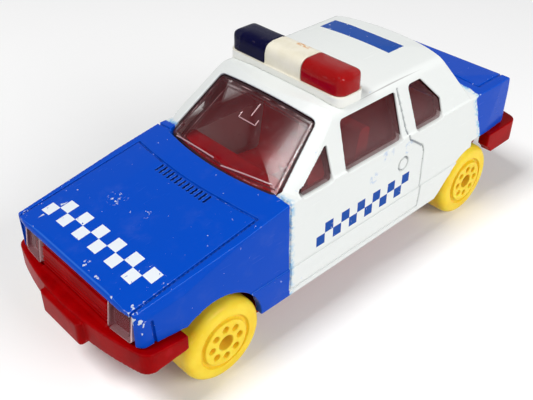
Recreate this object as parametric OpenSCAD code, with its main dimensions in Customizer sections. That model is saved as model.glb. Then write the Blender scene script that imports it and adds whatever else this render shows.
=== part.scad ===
// Die-cast toy saloon with a roof light bar, on a moulded base with two turning axles.
// Millimetres. +X is the car's front, +Y its left side, +Z up. The origin is on the ground, midway along.

/* [Overall] */
// Distance between the two axles
wheelbase = 48; // [44:0.5:54]
// Front axle to the foremost face of the front bumper
front_overhang = 13.7; // [13:0.1:16]
// Rear axle to the rearmost face of the rear bumper
rear_overhang = 13; // [12.4:0.1:16]
// Width of the body at its widest
body_w = 25.4; // [24:0.2:29]
// Thickness of the cast body
wall = 1.1; // [0.8:0.05:1.3]

/* [Lower body] */
// Height of the sill's lower edge
sill_z = 6.05; // [5.6:0.05:6.6]
// Height of the crease along the side
crease_z = 10.5; // [9:0.1:13]
// Height of the belt line, where the side windows start
belt_z = 19.7; // [18.8:0.1:21]
// Front axle to the middle of the nose
nose_reach = 12; // [11.4:0.1:12.2]
// Rear axle to the tail panel's foot
tail_reach = 9.6; // [8.8:0.1:10]
// Height of the fenders' lower edge at the nose
nose_skirt_z = 12; // [11.6:0.1:12.4]
// Height of the rear fenders' lower edge
tail_skirt_z = 12.5; // [12:0.1:13.2]
// Height of the hood at its front lip
hood_front_z = 17; // [16.4:0.1:17.4]
// Height of the hood at the windscreen
cowl_z = 20.2; // [19.6:0.1:20.8]
// Height of the boot lid
deck_z = 20.5; // [19.8:0.1:21.2]
// Radius of the hood's and the boot lid's crown
crown_r = 140; // [90:5:250]
// How far the nose leans back over its height
nose_lean = 0.7; // [0:0.1:1.2]
// How far the tail panel leans forward over its height
tail_lean = 1.5; // [0.4:0.1:2]
// How far the nose bows out in plan
nose_bow = 1; // [0.2:0.1:1.6]
// Radius of the hood's rolled front lip
lip_r = 0.9; // [0.3:0.1:1.2]

/* [Cabin] */
// Front axle back to the foot of the windscreen
cowl_setback = 8.8; // [8:0.1:9.6]
// Length of the windscreen in side view
windscreen_run = 9.4; // [8.8:0.1:10]
// Length of the roof
roof_len = 24.5; // [23.4:0.1:26]
// Length of the rear window in side view
rear_window_run = 5.9; // [5.2:0.1:6.6]
// Height of the roof
roof_z = 27.7; // [26.9:0.1:28.6]
// How far the roof falls towards its front and rear edges
roof_fall = 0.4; // [0.3:0.05:1]
// How far the roof falls towards its sides
roof_crown = 0.5; // [0.3:0.05:0.9]
// Radius of the roof's side edges
eave_r = 1.5; // [0.6:0.1:2]
// Radius of the windscreen's and the rear window's curve
screen_r = 36; // [30:1:60]

/* [Windows] */
// Height of the roof band above the side windows
header_h = 1.7; // [1.2:0.1:2]
// Width of the pillar between the small front window and the door window
vent_pillar_w = 2.3; // [1.4:0.1:3]
// Length of the door window
door_window_len = 10.8; // [9.5:0.1:11.5]
// Width of the pillar behind the door
door_pillar_w = 3.1; // [2.2:0.1:3.6]
// Corner radius of the window openings
window_r = 0.5; // [0.2:0.05:0.8]
// Thickness of the glazing
glass_t = 0.8; // [0.5:0.05:1]

/* [Panel lines] */
// Width of an engraved line
line_w = 0.3; // [0.15:0.01:0.4]
// Depth of an engraved line
line_d = 0.3; // [0.1:0.01:0.35]
// Number of cowl louvres
louvres = 13; // [6:1:15]

/* [Wheels] */
// Wheel diameter
wheel_d = 11.2; // [10.4:0.1:11.4]
// Wheel width
wheel_w = 4.4; // [3.6:0.1:4.8]
// Diameter of the raised hub
hub_d = 6.3; // [6:0.1:7.6]
// Diameter of the recess in the hub's middle
hub_hole_d = 2.1; // [1.8:0.1:2.4]
// Number of pockets round the hub
hub_pockets = 8; // [5:1:10]
// Axle diameter
axle_d = 1.2; // [1:0.05:1.5]
// Radial clearance of an axle in the base
axle_gap = 0.05; // [0.02:0.01:0.1]

/* [Base] */
// Height of the base's flat underside
base_z = 4.7; // [4.5:0.1:4.9]
// Thickness of the base plate
base_t = 1.3; // [1:0.1:1.35]
// Width over the bumpers
bumper_w = 26.4; // [25.6:0.1:29]
// Height of the front bumper's lower edge
bumper_low_z = 8.7; // [8:0.1:9]
// Thickness of the bumpers
bumper_t = 1.7; // [1.2:0.1:2]
// How far the bumpers bow out in plan
bumper_bow = 2; // [1:0.1:2.4]
// Width of the step in the middle of the front bumper
step_w = 8; // [5:0.1:10]
// Number of grille bars
grille_bars = 7; // [4:1:9]
// Diameter of the body's two posts where they go through the base
post_d = 2.4; // [2:0.1:2.8]

/* [Lights] */
// Width of a headlight
headlight_w = 4.2; // [3.4:0.1:4.4]
// Height of a headlight
headlight_h = 4.1; // [3.4:0.1:4.2]
// Thickness of a headlight lens
headlight_t = 1; // [0.7:0.1:1.2]
// How far the headlights turn towards the sides
headlight_yaw = 5.5; // [0:0.5:8]
// How far the light bar's ends stay inside the roof's sides
bar_inset = 0.1; // [0:0.1:2]
// Depth of the light bar's caps from front to back
cap_depth = 4.4; // [3.4:0.1:5]
// Height of the light bar's caps
cap_h = 2.7; // [2.2:0.1:3.6]
// Width of the light bar's middle block
block_w = 6.2; // [4:0.1:7]
// Windscreen's top edge back to the light bar's middle
bar_setback = 4.95; // [4.4:0.05:9]

/* [Interior] */
// Roof down to the front seats' tops
headroom = 6.1; // [5.4:0.1:7.4]
// Width of a front seat
seat_w = 7; // [6:0.1:7.6]
// Steering wheel diameter
steering_d = 4.6; // [3.6:0.1:5]

/* [Hidden] */

$fn = 48;
arc_steps = 6;
bow_steps = 6;

// Room left between pieces that lie side by side
fit_gap = 0.15;
// How far cuts run past the faces they open
overrun = 1;
// Longer than anything in the model
reach = wheelbase + front_overhang + rear_overhang;

// Stations along the car
axle_fx = reach / 2 - front_overhang;
axle_rx = axle_fx - wheelbase;
nose_x = axle_fx + nose_reach;
tail_x = axle_rx - tail_reach;
cowl_x = axle_fx - cowl_setback;
roof_front_x = cowl_x - windscreen_run;
roof_rear_x = roof_front_x - roof_len;
deck_x = roof_rear_x - rear_window_run;
roof_mid_x = (roof_front_x + roof_rear_x) / 2;
axle_z = wheel_d / 2;

// Lower body
half_w = body_w / 2;
sill_tuck = 0.4;
belt_tuck = 0.35;
crease_step = 0.16;
crease_band = 1.6;
nose_taper = 0.6;
tail_taper = 0.55;
tail_bow = 0.5;
corner_r = 1.1;
fender_in = 0.3;
fender_yaw = 2.4;
fender_tilt = 20;
tail_r = 0.9;
skirt_drop = 0.9;
deck_drop = 0.3;
crown_rise = 0.12;
hood_angle = atan2(cowl_z - hood_front_z, nose_x - nose_lean - cowl_x);

// Wheel arches
arch_r = 6.85;
arch_shift = 1;
arch_rise = 0.3;
rear_arch_gap = 0.4;
rear_arch_slant = 8.1;

// Cabin
tumblehome_share = 0.335;
shoulder = 0.5;
cabin_sink = 1.6;
cabin_half = half_w - shoulder;
eave_z = roof_z - roof_crown;
eave_half = cabin_half - tumblehome_share * (eave_z - belt_z);
roof_edge_z = roof_z - roof_fall;
roof_rise = 0.1;
roof_over_share = 1.15;
screen_angle = atan2(roof_edge_z - cowl_z, windscreen_run);
screen_len = norm([roof_edge_z - cowl_z, windscreen_run]);
rear_angle = atan2(roof_edge_z - deck_z, rear_window_run);
rear_len = norm([roof_edge_z - deck_z, rear_window_run]);

// Window openings
head_z = roof_z - header_h;
screen_foot = 0.15;
screen_bow = 1;
screen_header = 0.5;
screen_low_half = 10.2;
screen_top_half = 8.5;
screen_corner_r = 0.9;
screen_cut = 3.4;
rear_low_half = 9.4;
rear_top_half = 8.2;
vent_front = 2.5;
vent_ahead = 0.3;
vent_back_x = roof_front_x + vent_ahead;
vent_h_share = 0.73;
window_lean = 0.5;
quarter_top_len = 2.1;
quarter_foot_len = 5.6;
quarter_knee_share = 0.42;
quarter_r = 0.6;

// Panel lines
door_front = 1.6;
door_rear = 1.9;
door_corner_r = 3;
door_foot = 0.9;
corner_line_back = 3.8;
corner_line_lean = 0.9;
corner_line_z = 15.2;
lock_d = 2.2;
lock_below = 3.6;
lock_ahead = 4.5;
hood_line_in = 1.1;
hood_line_back = 2.2;
louvre_len = 1.3;
louvre_pitch = 0.75;
louvre_back = 4.1;
boot_line_in = 1.5;
tail_lamp_w = 4.2;
tail_lamp_h = 2.6;
tail_lamp_in = 1.2;

// Posts that hold the base
post_shoulder = 0.7;
post_head = 0.6;
post_head_t = 0.5;
front_post_share = 0.75;
front_post_x = axle_fx - front_post_share * cowl_setback;
rear_post_back_share = 0.38;
rear_post_x = axle_rx - rear_post_back_share * tail_reach;

// Base
base_top_z = base_z + base_t;
base_half = half_w - sill_tuck - wall - fit_gap;
wheel_gap = 0.3;
wheel_proud = 0.1;
wheel_face = half_w + wheel_proud;
track_half = wheel_face - wheel_w - wheel_gap;
well_gap = 0.8;
carrier_half = 1.5;
bumper_wrap_front = 7.5;
bumper_wrap_rear = 9.4;
bumper_corner_r = 1.6;
step_reach = 0.6;
step_low = 0.5;
step_round = 0.5;
nose_wall_t = 1.2;
grille_t = 1;
grille_back = 0.4;
grille_gap = 0.28;
grille_half = half_w - nose_taper - wall - headlight_w - fit_gap;
rear_bumper_h = 3.4;
rear_wall_t = 1.2;
valance_run = 3.2;

// Nose frame for the grille and the headlights
nose_tilt = atan2(nose_lean, hood_front_z - nose_skirt_z);
nose_open_half = half_w - nose_taper - wall;
lamp_setback = 0.1;
nose_cut = headlight_t + nose_wall_t + nose_bow + nose_lean;
lamp_mid_y = nose_open_half - headlight_w / 2;
lamp_rim = 0.45;
lamp_rim_h = 0.25;
lamp_r = 0.5;
seat_gap = 0.05;

// Interior
floor_t = 0.9;
cabin_trim_z = belt_z - cabin_sink;
interior_half = half_w - belt_tuck - wall - 2 * fit_gap - crease_step;
cushion_z = 12.6;
seat_back_t = 2;
seat_rake = 1.6;
seat_len = 8.4;
seat_r = 0.8;
seat_mid_y = 5.1;
front_seat_share = 0.36;
front_seat_back_x = roof_front_x - front_seat_share * roof_len;
seat_z = roof_z - headroom;
bench_drop = 1.2;
bench_z = seat_z - bench_drop;
bench_ahead = 1.4;
bench_back_x = roof_rear_x + bench_ahead;
dash_len = 4.2;
dash_setback = 3.4;
dash_front_x = cowl_x - dash_setback;
dash_z = cabin_trim_z - fit_gap;
dash_r = 1;
column_d = 0.9;
column_tilt = 62;
column_len = 4.2;
rim_d = 0.8;
spoke_t = 0.6;

// Light bar
bar_x = roof_front_x - bar_setback;
bar_len = 2 * (eave_half - bar_inset);
plate_rim = 0.2;
plate_t = 1.4;
plate_sink = 0.6;
plate_z = roof_z - plate_sink;
cap_z = plate_z + plate_t;
cap_len = (bar_len - block_w) / 2;
cap_r = 1.3;
cap_end_r = 1.3;
cap_wall = 0.55;
dome_d = 2.4;
dome_neck = 0.4;
dome_out_share = 0.6;
pin_d = 0.8;
pin_out_share = 0.22;
peg_d = 1.6;
peg_y = bar_len / 4;

// Wheels
tread_r = 1.05;
inner_edge_r = 0.6;
ring_w = 0.55;
ring_depth = 0.55;
hub_step = 0.15;
pocket_d = 0.95;
pocket_depth = 0.7;
pocket_ring_share = 0.66;
hub_hole_depth = 1.6;
axle_half = wheel_face - hub_hole_depth;

function unit(v) = v / norm(v);
function turn(a) = a - 360 * floor((a + 180) / 360);
// Points of an arc of radius r that rounds corner p between its neighbours a and b
function fillet(a, p, b, r) =
    let (u = unit(a - p), v = unit(b - p), half = acos(u * v) / 2, c = p + unit(u + v) * r / sin(half))
    let (s = p + u * r / tan(half) - c, e = p + v * r / tan(half) - c)
    let (start = atan2(s[1], s[0]), sweep = turn(atan2(e[1], e[0]) - start))
    [for (i = [0:arc_steps]) let (a = start + sweep * i / arc_steps) c + r * [cos(a), sin(a)]];
// Outline with each corner rounded by its own radius, or left sharp where that is 0
function rounded(pts, radii) =
    let (n = len(pts))
    [for (i = [0:n - 1])
        each radii[i] == 0 ? [pts[i]] : fillet(pts[(i + n - 1) % n], pts[i], pts[(i + 1) % n], radii[i])];
function same(r, pts) = [for (p = pts) r];
// Edge at x that bows out by bow over the half width h, walked from y = -h to +h times way
function bowed(x, bow, h, way) =
    [for (i = [-bow_steps:bow_steps]) let (t = i / bow_steps) [x - bow * t * t, way * h * t]];
// Radii for a bowed edge: round at its two ends only
function bow_radii(r) = [for (i = [-bow_steps:bow_steps]) abs(i) == bow_steps ? r : 0];
function hood_z(x) = cowl_z + (hood_front_z - cowl_z) * (x - cowl_x) / (nose_x - nose_lean - cowl_x);
function mirrored(pts) = concat(pts, [for (i = [len(pts) - 1:-1:0]) [-pts[i][0], pts[i][1]]]);

// Draws an outline of x and z, solid across the car
module across(w) {
    rotate([90, 0, 0]) linear_extrude(w, center = true) children();
}
// Draws an outline of y and z, solid along the car
module along(l) {
    rotate([90, 0, 90]) linear_extrude(l, center = true) children();
}
module both_sides() {
    children();
    mirror([0, 1, 0]) children();
}

// Outer form of the lower body, drawn in by i. Drawn in, it is open below.
module lower_form(i) {
    foot = i > 0 ? 0 : 1;
    side = [
        [tail_x + i, tail_skirt_z * foot], [axle_rx, tail_skirt_z * foot], [axle_rx, sill_z * foot],
        [axle_fx, sill_z * foot], [axle_fx, (nose_skirt_z - skirt_drop) * foot],
        [nose_x - i, nose_skirt_z * foot], [nose_x - nose_lean - i, hood_front_z - i], [cowl_x, cowl_z - i],
        [deck_x, deck_z - i], [tail_x + tail_lean + i, deck_z - deck_drop - i]
    ];
    open_side = [side[0], [nose_x - i, 0], [nose_x - i, nose_skirt_z], side[6], side[7], side[8], side[9]];
    plan = concat(bowed(nose_x - i, nose_bow, half_w - nose_taper - i, 1),
                  [[axle_fx, half_w - i], [axle_rx, half_w - i]],
                  [for (p = bowed(-tail_x - i, tail_bow, half_w - tail_taper - i, -1)) [-p[0], p[1]]],
                  [[axle_rx, i - half_w], [axle_fx, i - half_w]]);
    plan_r = concat(bow_radii(corner_r), [0, 0], bow_radii(corner_r), [0, 0]);
    section = [[half_w - sill_tuck - i, 0], [half_w - i, crease_z - crease_band], [half_w - i, crease_z],
               [half_w - crease_step - i, crease_z], [half_w - belt_tuck - i, belt_z],
               [half_w - belt_tuck - i, roof_z]];
    difference() {
        lower_blank(side, open_side, plan, plan_r, section, foot, i);
        both_sides() fender_lean(i);
    }
}
module lower_blank(side, open_side, plan, plan_r, section, foot, i) {
    intersection() {
        across(body_w)
            polygon(foot == 1 ? rounded(side, [0, 0, 0, 0, 0, 0, lip_r, 0, 0, tail_r])
                              : rounded(open_side, [0, 0, 0, lip_r, 0, 0, tail_r]));
        linear_extrude(roof_z) polygon(rounded(plan, plan_r));
        along(reach) polygon(mirrored(section));
        translate([cowl_x, 0, cowl_z + crown_rise]) rotate([0, hood_angle, 0]) crown(i);
        translate([0, 0, deck_z + crown_rise]) crown(i);
    }
}

// What the front fenders lose where they lean in towards the nose
module fender_lean(i) {
    translate([cowl_x, half_w - fender_in - i, cowl_z]) rotate([0, hood_angle, 0]) rotate([0, 0, -fender_yaw])
        rotate([fender_tilt, 0, 0]) translate([-reach, 0, -reach]) cube(2 * reach);
}

// Rounded top along the car, its ridge on the x axis, drawn in by i
module crown(i) {
    translate([0, 0, -crown_r]) rotate([0, 90, 0]) cylinder(r = crown_r - i, h = 2 * reach, center = true);
}

// Outer form of the cabin, drawn in by i
module cabin_form(i) {
    foot_z = belt_z - cabin_sink - i;
    eave = [eave_half - i, eave_z - i];
    slope = [for (t = [1:bow_steps]) let (s = 1 - t / bow_steps)
        [eave[0] * s, roof_z - i - roof_crown * s * s]];
    half = concat([[cabin_half - i, foot_z], [cabin_half - i, belt_z]],
                  fillet([cabin_half - i, belt_z], eave, slope[0], eave_r), slope);
    roof_side = [for (t = [-bow_steps:bow_steps]) let (s = roof_over_share * t / bow_steps)
        [roof_mid_x - s * roof_len / 2, roof_z + roof_rise - roof_fall * s * s - i]];
    intersection() {
        along(reach) polygon(mirrored(half));
        across(body_w) polygon(concat([[cowl_x - i, foot_z]], roof_side, [[deck_x + i, foot_z]]));
        on_windscreen() screen(i);
        on_rear_window() screen(i);
    }
}
// Curved screen, its middle line on the y axis, drawn in by i
module screen(i) {
    translate([0, 0, -screen_r]) rotate([90, 0, 0]) cylinder(r = screen_r - i, h = 2 * reach, center = true);
}
// Frame on the windscreen's middle line: x across the car, y up the screen, z out of it
module on_windscreen() {
    translate([cowl_x, 0, cowl_z]) rotate([0, screen_angle, 0]) rotate([0, 0, 90]) children();
}
// The same frame on the rear window
module on_rear_window() {
    translate([deck_x, 0, deck_z]) rotate([0, -rear_angle, 0]) rotate([0, 0, -90]) children();
}

// Window openings, drawn in by i
module screen_opening(low_half, top_half, length, i) {
    foot = [for (k = [-bow_steps:bow_steps]) let (t = k / bow_steps)
        [t * (low_half - i), screen_foot + screen_bow * t * t + i]];
    top = length - screen_header - i;
    pts = concat(foot, [[top_half - i, top], [i - top_half, top]]);
    radii = concat(bow_radii(screen_corner_r), [screen_corner_r, screen_corner_r]);
    translate([0, 0, -screen_cut]) linear_extrude(2 * screen_cut)
        polygon(rounded(pts, radii));
}
module side_windows(i) {
    height = head_z - belt_z;
    vent_x = cowl_x - vent_front;
    door_x = vent_back_x - vent_pillar_w;
    quarter_x = door_x - door_window_len - door_pillar_w;
    vent = [[vent_x - 2 * i, belt_z + i], [vent_back_x, belt_z + vent_h_share * height - 2 * i],
            [vent_back_x + i, belt_z + i]];
    door = [[door_x - i, belt_z + i], [door_x - window_lean - i, head_z - i],
            [door_x - door_window_len + i, head_z - i], [door_x - door_window_len + i, belt_z + i]];
    quarter = [[quarter_x - i, belt_z + i], [quarter_x + window_lean - i, head_z - i],
               [quarter_x - quarter_top_len + i, head_z - i],
               [quarter_x - quarter_foot_len + i, belt_z + quarter_knee_share * height - i],
               [quarter_x - quarter_foot_len + i, belt_z + i]];
    across(body_w + overrun) {
        polygon(rounded(vent, [window_r, window_r / 2, window_r]));
        polygon(rounded(door, same(window_r, door)));
        polygon(rounded(quarter, [window_r, window_r, quarter_r, quarter_r, quarter_r]));
    }
}
module window_openings(i) {
    on_windscreen() screen_opening(screen_low_half, screen_top_half, screen_len, i);
    on_rear_window() screen_opening(rear_low_half, rear_top_half, rear_len, i);
    side_windows(i);
}

// Engraved lines seen from the side: the door, its lock and the seam behind the headlight
module side_lines() {
    door_x = cowl_x - door_front;
    door_end_x = vent_back_x - vent_pillar_w - door_window_len - door_pillar_w - door_rear;
    lock_x = door_end_x + lock_ahead;
    corner_x = nose_x - corner_line_back;
    polygon([[corner_x, 0], [corner_x + line_w, 0], [corner_x + line_w + corner_line_lean, corner_line_z],
             [corner_x + corner_line_lean, corner_line_z]]);
    difference() {
        polygon(door_outline(door_x, door_end_x, 0));
        polygon(door_outline(door_x, door_end_x, line_w));
    }
    translate([lock_x, belt_z - lock_below]) difference() {
        circle(d = lock_d);
        circle(d = lock_d - 2 * line_w);
    }
}
function door_outline(front, back, i) =
    let (pts = [[back + i, sill_z + door_foot + i], [front - i, sill_z + door_foot + i],
                [front - i, belt_z + overrun], [back + door_corner_r, belt_z + overrun],
                [back + i, belt_z - door_corner_r]])
    rounded(pts, [0, 0, 0, 0, door_corner_r - i]);

// Engraved lines seen from above: the hood, the cowl louvres and the boot lid
module plan_lines() {
    hood_half = half_w - nose_taper - hood_line_in;
    hood_back_x = cowl_x + hood_line_back;
    both_plan() translate([hood_back_x, hood_half]) square([nose_x - hood_back_x, line_w]);
    bowed_line(hood_back_x, hood_half, nose_bow);
    for (i = [0:louvres - 1])
        translate([cowl_x + louvre_back, (i - (louvres - 1) / 2) * louvre_pitch])
            square([louvre_len, line_w], center = true);
    boot_half = half_w - tail_taper - boot_line_in;
    boot_x = deck_x - boot_line_in;
    both_plan() translate([tail_x, boot_half]) square([boot_x - tail_x + line_w, line_w]);
    translate([boot_x, -boot_half - line_w]) square([line_w, 2 * (boot_half + line_w)]);
}
module both_plan() {
    children();
    mirror([0, 1]) children();
}
module bowed_line(x, half, bow) {
    steps = [for (i = [-bow_steps:bow_steps]) i / bow_steps];
    back = [for (t = steps) [x + bow - bow * t * t, half * t]];
    front = [for (i = [len(back) - 1:-1:0]) back[i] + [line_w, 0]];
    polygon(concat(back, front));
}
// Outlines of the tail lamps on the tail panel
module tail_lines() {
    lamp_z = deck_z - tail_r - tail_lamp_in - tail_lamp_h;
    lamp_y = half_w - tail_taper - corner_r - tail_lamp_in - tail_lamp_w;
    both_plan() translate([lamp_y, lamp_z]) difference() {
        square([tail_lamp_w, tail_lamp_h]);
        translate([line_w, line_w]) square([tail_lamp_w - 2 * line_w, tail_lamp_h - 2 * line_w]);
    }
}
module engraving() {
    difference() {
        union() {
            across(body_w + overrun) side_lines();
            translate([0, 0, sill_z]) linear_extrude(roof_z) plan_lines();
            translate([tail_x, 0, 0]) along(2 * (tail_lean + overrun)) tail_lines();
        }
        lower_form(line_d);
    }
}

// Room for the wheels: a round front arch, and a rear arch with a slanted leading edge
module arches() {
    rear_r = wheel_d / 2 + rear_arch_gap;
    slant = acos(rear_r / rear_arch_slant);
    translate([axle_fx + arch_shift, 0, axle_z + arch_rise]) rotate([90, 0, 0])
        cylinder(r = arch_r, h = body_w + overrun, center = true, $fn = 96);
    translate([axle_rx, 0, axle_z]) {
        rotate([90, 0, 0]) cylinder(r = rear_r, h = body_w + overrun, center = true, $fn = 96);
        across(body_w + overrun)
            polygon([[0, 0], [rear_arch_slant, -axle_z], [rear_arch_slant, 0],
                     rear_r * [cos(slant), sin(slant)]]);
    }
}

// Post of the casting, standing on the base and peened over under it
module post(x, top_z) {
    translate([x, 0, base_top_z]) cylinder(d = post_d + 2 * post_shoulder, h = top_z - base_top_z);
    translate([x, 0, base_z]) cylinder(d = post_d, h = base_t + overrun);
    translate([x, 0, base_z]) cylinder(d = post_d + 2 * post_head, h = post_head_t);
}

module body_shell() {
    color([0.93, 0.94, 0.93]) {
        difference() {
            union() {
                lower_form(0);
                cabin_form(0);
            }
            lower_form(wall);
            cabin_form(wall);
            window_openings(0);
            engraving();
            arches();
            translate([nose_x - nose_cut, -nose_open_half, 0])
                cube([nose_cut + overrun, 2 * nose_open_half, hood_front_z - lip_r]);
            bar_pegs(fit_gap / 2);
        }
        post(front_post_x, hood_z(front_post_x) - wall / 2);
        post(rear_post_x, deck_z - deck_drop - wall / 2);
    }
}

module window_glazing() {
    skin = wall + fit_gap;
    color([0.42, 0.2, 0.22, 0.6]) difference() {
        union() {
            cabin_form(skin);
            intersection() {
                cabin_form(line_d);
                window_openings(fit_gap);
            }
        }
        cabin_form(skin + glass_t);
        bar_pegs(fit_gap);
        translate([deck_x - reach, -reach / 2, 0]) cube([2 * reach, reach, cabin_trim_z]);
    }
}

// Side outline of a seat: cushion and raked back, with its foot on the floor
module seat(back_x, top_z, width) {
    floor_z = base_top_z + floor_t / 2;
    pts = [[back_x + seat_len, floor_z], [back_x + seat_len, cushion_z],
           [back_x + seat_back_t, cushion_z - seat_r], [back_x + seat_back_t - seat_rake, top_z],
           [back_x - seat_rake, top_z], [back_x, floor_z]];
    across(width) polygon(rounded(pts, [0, seat_r, seat_r, seat_r, seat_r, 0]));
}

module cabin_interior() {
    rear_x = axle_rx + wheel_d / 2 + well_gap;
    color([0.7, 0.03, 0.05]) {
        translate([rear_x, -interior_half, base_top_z])
            cube([dash_front_x - rear_x, 2 * interior_half, floor_t]);
        both_sides() translate([0, seat_mid_y, 0]) seat(front_seat_back_x, seat_z, seat_w);
        seat(bench_back_x, bench_z, 2 * (seat_mid_y + seat_w / 2));
        dashboard();
        steering_wheel();
    }
}
module dashboard() {
    pts = [[dash_front_x - dash_len, base_top_z], [dash_front_x, base_top_z], [dash_front_x, dash_z],
           [dash_front_x - dash_len + dash_r, dash_z], [dash_front_x - dash_len, dash_z - dash_len / 2]];
    across(2 * interior_half) polygon(rounded(pts, [0, 0, dash_r, dash_r, dash_r]));
}
module steering_wheel() {
    translate([dash_front_x - dash_len, seat_mid_y, dash_z - dash_len / 2]) rotate([0, -column_tilt, 0]) {
        translate([0, 0, -dash_r]) cylinder(d = column_d, h = column_len - dash_len / 2 + dash_r);
        translate([0, 0, column_len - dash_len / 2]) {
            rotate_extrude() translate([(steering_d - rim_d) / 2, 0]) circle(d = rim_d, $fn = 16);
            translate([-(steering_d - rim_d) / 2, -spoke_t / 2, -spoke_t / 2])
                cube([steering_d - rim_d, spoke_t, spoke_t]);
        }
    }
}

// Plan ring of a bumper that bows out and wraps round the corners, facing +X
function bumper_edge(i) =
    let (half = bumper_w / 2 - i)
    bowed(-i, bumper_bow, half, 1);
module bumper_ring(wrap) {
    outer = concat(bumper_edge(0), [[-wrap, bumper_w / 2], [-wrap, -bumper_w / 2]]);
    inner = concat(bumper_edge(bumper_t), [[-wrap - overrun, bumper_w / 2 - bumper_t],
                                           [-wrap - overrun, bumper_t - bumper_w / 2]]);
    difference() {
        polygon(rounded(outer, concat(bow_radii(bumper_corner_r), [0, 0])));
        polygon(rounded(inner, concat(bow_radii(bumper_corner_r - bumper_t / 2), [0, 0])));
    }
}

module front_bumper() {
    front_x = axle_fx + front_overhang - step_reach;
    top_z = nose_skirt_z - fit_gap;
    back_x = front_x - bumper_wrap_front;
    intersection() {
        translate([front_x, 0, 0]) linear_extrude(roof_z) bumper_ring(bumper_wrap_front);
        across(body_w + 2 * bumper_t + overrun)
            polygon([[back_x - overrun, bumper_low_z + step_low], [front_x - bumper_bow, bumper_low_z],
                     [front_x + overrun, bumper_low_z], [front_x + overrun, top_z], [nose_x, top_z],
                     [back_x - overrun, top_z - skirt_drop]]);
    }
    step = [[front_x - bumper_t, -step_w / 2], [front_x + step_reach, -step_w / 2],
            [front_x + step_reach, step_w / 2], [front_x - bumper_t, step_w / 2]];
    translate([0, 0, bumper_low_z - step_low]) linear_extrude(top_z - bumper_low_z)
        polygon(rounded(step, [0, step_round, step_round, 0]));
}

module rear_bumper() {
    rear_x = axle_rx - rear_overhang;
    top_z = tail_skirt_z - fit_gap;
    translate([rear_x, 0, top_z - rear_bumper_h]) mirror([1, 0, 0])
        linear_extrude(rear_bumper_h) bumper_ring(bumper_wrap_rear);
}

// Frame on the leaning nose, at the foot of its middle: x forward, y to the left, z up the face
module on_nose() {
    translate([nose_x, 0, nose_skirt_z]) rotate([0, -nose_tilt, 0]) children();
}
module on_lamp() {
    on_nose() translate([-lamp_setback - nose_bow / 2, lamp_mid_y, 0])
        rotate([0, 0, headlight_yaw]) children();
}

module grille() {
    height = headlight_h - 2 * fit_gap;
    pitch = height / grille_bars;
    foot = skirt_drop + 2 * fit_gap;
    back = lamp_setback + grille_back + grille_t + nose_wall_t;
    on_nose() translate([-back, -grille_half, 0]) difference() {
        translate([0, 0, -foot]) cube([nose_wall_t + grille_t, 2 * grille_half, height + foot]);
        for (i = [0:grille_bars - 1])
            translate([nose_wall_t + grille_t / 2, 0, (i + 1 / 2) * pitch - grille_gap / 2])
                cube([grille_t, 2 * grille_half, grille_gap]);
    }
    both_sides() on_lamp() translate([-headlight_t - nose_wall_t, -headlight_w / 2 - 2 * fit_gap, -foot])
        cube([nose_wall_t, headlight_w + fit_gap, height + foot]);
}

module carrier(x) {
    translate([x - carrier_half, -track_half, axle_z - carrier_half])
        cube([2 * carrier_half, 2 * track_half, 2 * carrier_half]);
}

module base_plate() {
    well = wheel_d / 2 + well_gap;
    nose_top_z = nose_skirt_z - skirt_drop;
    nose_back_x = nose_x - lamp_setback - headlight_t;
    front_x = nose_back_x - valance_run;
    tail_top_z = tail_skirt_z - fit_gap;
    tail_back_x = axle_rx - rear_overhang + bumper_t / 2;
    rear_x = tail_back_x + bumper_t + valance_run;
    inner = track_half - wheel_gap;
    well_fx = axle_fx - well;
    well_rx = axle_rx + well;
    half = [[front_x, inner], [well_fx, inner], [well_fx, base_half], [well_rx, base_half], [well_rx, inner],
            [rear_x, inner]];
    other_half = [for (i = [len(half) - 1:-1:0]) [half[i][0], -half[i][1]]];
    translate([0, 0, base_z]) linear_extrude(base_t) polygon(concat(half, other_half));
    across(2 * inner) {
        polygon([[front_x - base_t, base_z], [front_x, base_z], [nose_back_x, bumper_low_z],
                 [nose_back_x, nose_top_z], [nose_back_x - 2 * nose_wall_t, nose_top_z],
                 [front_x - base_t, base_top_z]]);
        polygon([[rear_x, base_z], [rear_x + base_t, base_z], [rear_x + base_t, base_top_z],
                 [tail_back_x + bumper_t + rear_wall_t, tail_top_z], [tail_back_x, tail_top_z],
                 [tail_back_x, tail_top_z - rear_bumper_h]]);
    }
    translate([nose_back_x - 2 * nose_wall_t, wall - half_w, bumper_low_z])
        cube([2 * nose_wall_t, body_w - 2 * wall, nose_top_z - bumper_low_z]);
}

// Room for the turning wheels
module wheel_room() {
    for (x = [axle_fx, axle_rx])
        translate([x, 0, axle_z]) rotate([90, 0, 0])
            cylinder(d = wheel_d + 2 * rear_arch_gap, h = bumper_w + overrun, center = true);
}

module chassis_base() {
    color([0.7, 0.02, 0.03]) difference() {
        union() {
            base_plate();
            difference() {
                union() {
                    front_bumper();
                    rear_bumper();
                }
                wheel_room();
            }
            grille();
            carrier(axle_fx);
            carrier(axle_rx);
        }
        for (x = [axle_fx, axle_rx])
            translate([x, 0, axle_z]) rotate([90, 0, 0])
                cylinder(d = axle_d + 2 * axle_gap, h = body_w, center = true);
        for (x = [front_post_x, rear_post_x]) translate([x, 0, base_z - overrun]) {
            cylinder(d = post_d + 2 * seat_gap, h = base_t + 2 * overrun);
            cylinder(d = post_d + 2 * post_head + 2 * seat_gap, h = post_head_t + overrun);
        }
    }
}

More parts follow.
